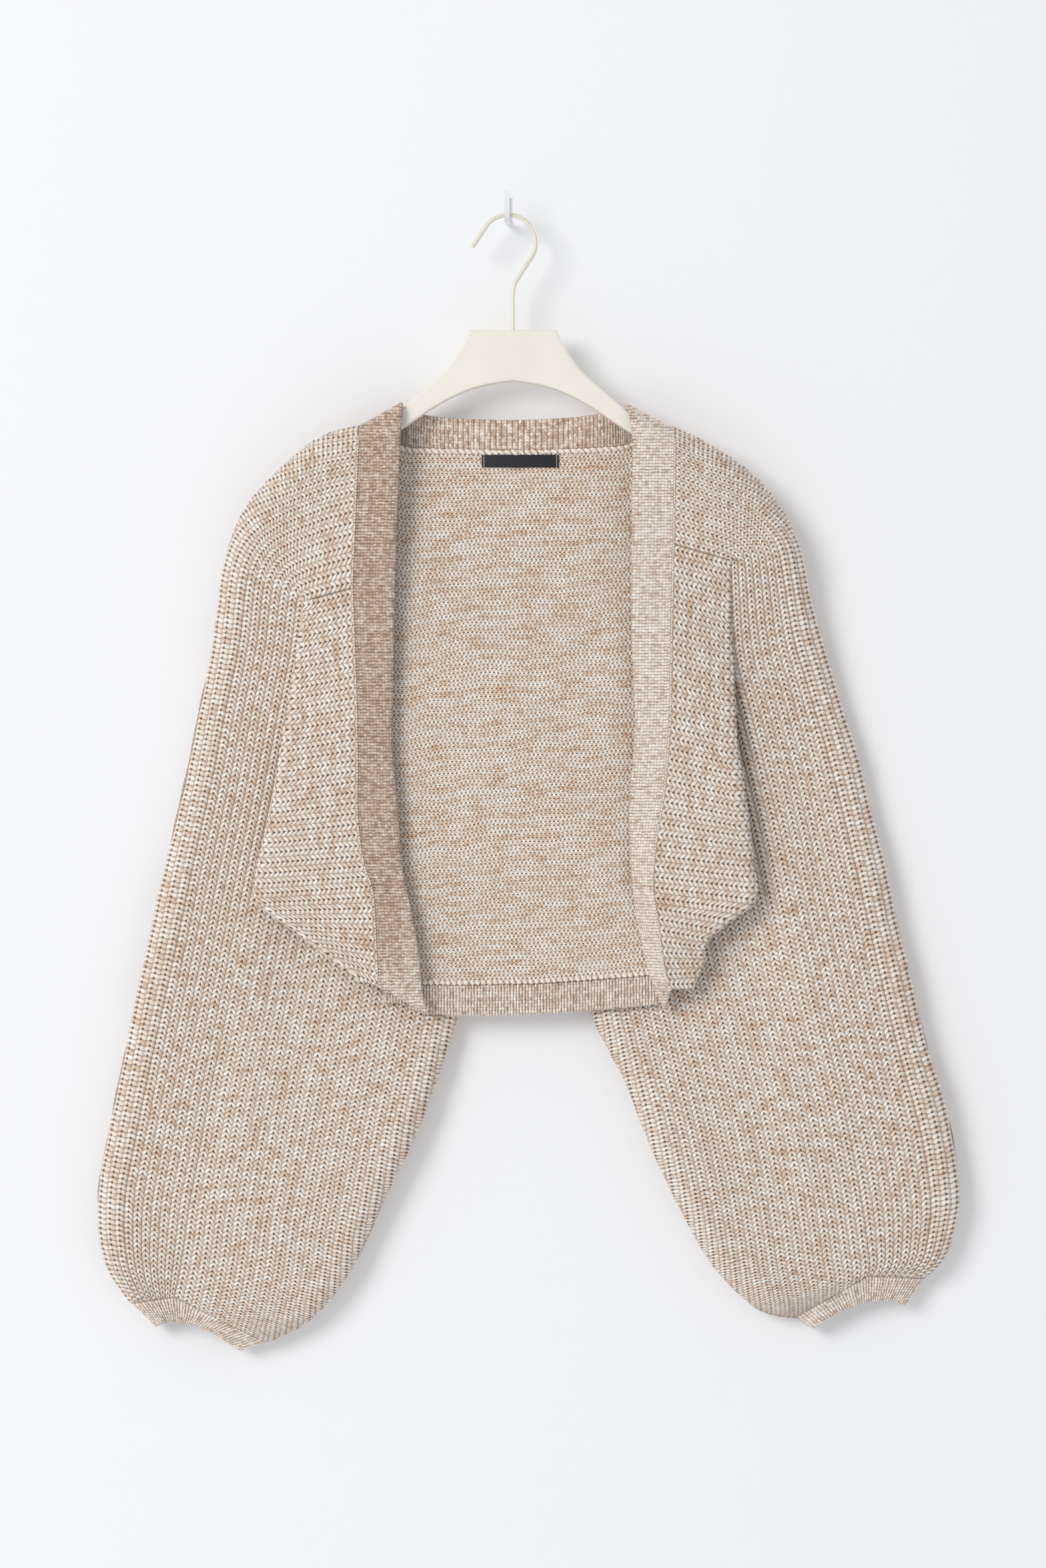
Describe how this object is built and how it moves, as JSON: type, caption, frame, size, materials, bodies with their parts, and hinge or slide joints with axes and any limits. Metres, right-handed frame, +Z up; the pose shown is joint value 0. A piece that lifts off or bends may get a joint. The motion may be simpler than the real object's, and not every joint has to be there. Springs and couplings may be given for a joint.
{
  "type": "knitted shrug on a hanger and wall hook",
  "caption": "Open-front cropped shrug in heather half-cardigan knit with wide dolman sleeves, ribbed band all round and ribbed cuffs, on a flat hanger hung from a J wall hook.",
  "frame": {"origin": "middle of the wall hook's flat back, on the wall plane", "axes": "+Y points into the wall, +Z is up, +X is to the right as the viewer faces the garment"},
  "size_m": [0.6479, 0.0515, 0.8712],
  "materials": {
    "main_knit": "heather wool-blend half-cardigan knit, matte with a light nap",
    "ribbing": "fine 1x1 rib in the same heather yarn, matte",
    "woven_label": "black woven satin, bare",
    "hanger_body": "off-white, soft matte moulding",
    "hanger_wire": "off-white painted steel wire",
    "wall_hook": "white painted steel strip"
  },
  "bodies": {
    "root": {"back": "main_knit", "front_left": "main_knit", "front_right": "main_knit", "neck_band": "ribbing", "front_band_left": "ribbing", "front_band_right": "ribbing", "hem_band": "ribbing", "cuff_left": "ribbing", "cuff_right": "ribbing", "neck_label": "woven_label", "hanger": "hanger_body", "hanger_hook": "hanger_wire", "wall_hook": "wall_hook"}
  },
  "joints": []
}
